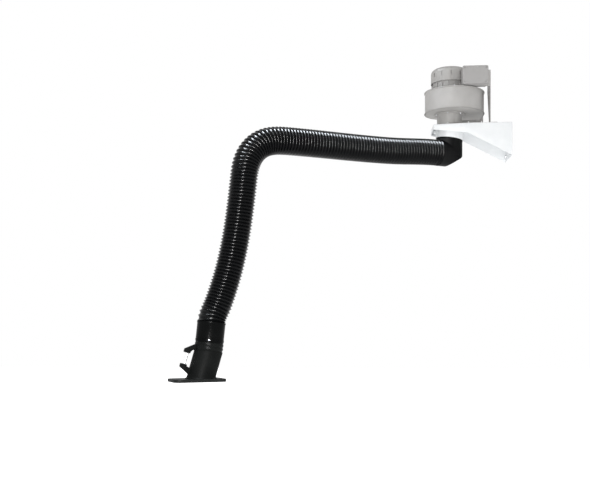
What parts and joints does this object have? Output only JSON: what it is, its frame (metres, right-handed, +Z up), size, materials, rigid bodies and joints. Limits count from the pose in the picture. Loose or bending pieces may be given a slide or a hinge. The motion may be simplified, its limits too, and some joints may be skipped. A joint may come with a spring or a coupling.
{
  "type": "fume extraction arm",
  "caption": "Wall bracket with a scroll fan, a swivel elbow, a corrugated hose arm with inner friction joints, and a swivelling hood with a flanged mouth and a handle.",
  "frame": {"origin": "centre of the wall plate's back face, on the wall", "axes": "+X into the wall, +Z up, the arm hangs out from the wall on the -X side"},
  "size_m": [2.1616, 1.1278, 2.0748],
  "materials": {
    "white_powder": "satin powder coat",
    "grey_paint": "satin paint",
    "grey_plastic": "matt",
    "black_plastic": "fine grain",
    "black_hose": "glossy coated fabric",
    "black_rubber": "matt",
    "zinc_steel": "zinc plated",
    "bright_metal": "polished"
  },
  "bodies": {
    "bracket": {"wall_bracket": "white_powder", "swivel_bearing": "white_powder", "neck_seal": "black_rubber", "inlet_spigot": "grey_paint", "fan_scroll": "grey_paint", "outlet_flange": "grey_paint", "fan_cover": "grey_paint", "motor_body": "grey_paint", "motor_cowl": "grey_paint", "control_box": "grey_plastic", "control_box_lid": "grey_plastic", "control_box_stand": "grey_paint"},
    "impeller": {"impeller": "zinc_steel", "motor_shaft": "zinc_steel"},
    "swivel": {"swivel_elbow": "black_plastic", "shoulder_fork": "zinc_steel", "shoulder_pin": "zinc_steel", "shoulder_disc_left": "black_rubber", "shoulder_disc_right": "black_rubber", "shoulder_spring": "zinc_steel", "hose_shoulder_bend": "black_hose"},
    "upper_arm": {"upper_eye": "zinc_steel", "upper_tube": "zinc_steel", "elbow_fork": "zinc_steel", "elbow_pin": "zinc_steel", "elbow_disc_left": "black_rubber", "elbow_disc_right": "black_rubber", "elbow_spring": "zinc_steel", "hose_upper": "black_hose", "hose_elbow_bend": "black_hose"},
    "lower_arm": {"lower_eye": "zinc_steel", "lower_tube": "zinc_steel", "hood_fork": "zinc_steel", "hood_pin": "zinc_steel", "hood_disc_left": "black_rubber", "hood_disc_right": "black_rubber", "hose_lower": "black_hose", "hose_hood_bend": "black_hose"},
    "hood_mount": {"hood_stem": "zinc_steel", "cuff_spider": "zinc_steel", "hose_cuff": "black_rubber", "cuff_clamp": "zinc_steel", "stem_nut": "zinc_steel"},
    "hood": {"hood_collar": "black_plastic", "hood_spider": "zinc_steel", "hood_shell": "black_plastic", "hood_flange": "black_plastic", "handle_upper_arm": "black_plastic", "handle_lower_arm": "black_plastic", "handle_grip": "bright_metal"}
  },
  "joints": [
    {"name": "fan_spin", "type": "hinge", "parent": "bracket", "child": "impeller", "pos_m": [-0.4, 0, 0.25], "axis": [0, 0, 1], "continuous": true},
    {"name": "swivel_turn", "type": "hinge", "parent": "bracket", "child": "swivel", "pos_m": [-0.4, 0, 0.09], "axis": [0, 0, 1], "range_deg": [-117, 63]},
    {"name": "shoulder_lift", "type": "hinge", "parent": "swivel", "child": "upper_arm", "pos_m": [-0.53365, -0.0681, -0.07], "axis": [-0.454, 0.891, 0], "range_deg": [-50, 40], "deforming": ["hose_shoulder_bend"]},
    {"name": "elbow_bend", "type": "hinge", "parent": "upper_arm", "child": "lower_arm", "pos_m": [-1.65588, -0.6399, -0.1054], "axis": [-0.454, 0.891, 0], "range_deg": [-45, 70], "deforming": ["hose_elbow_bend"]},
    {"name": "hood_tilt", "type": "hinge", "parent": "lower_arm", "child": "hood_mount", "pos_m": [-1.896, -0.76225, -1.13708], "axis": [-0.454, 0.891, 0], "range_deg": [-60, 45], "deforming": ["hose_hood_bend"]},
    {"name": "hood_turn", "type": "hinge", "parent": "hood_mount", "child": "hood", "pos_m": [-1.896, -0.76225, -1.13708], "axis": [0.0962, 0.049, 0.9942], "range_deg": [-180, 180]}
  ]
}
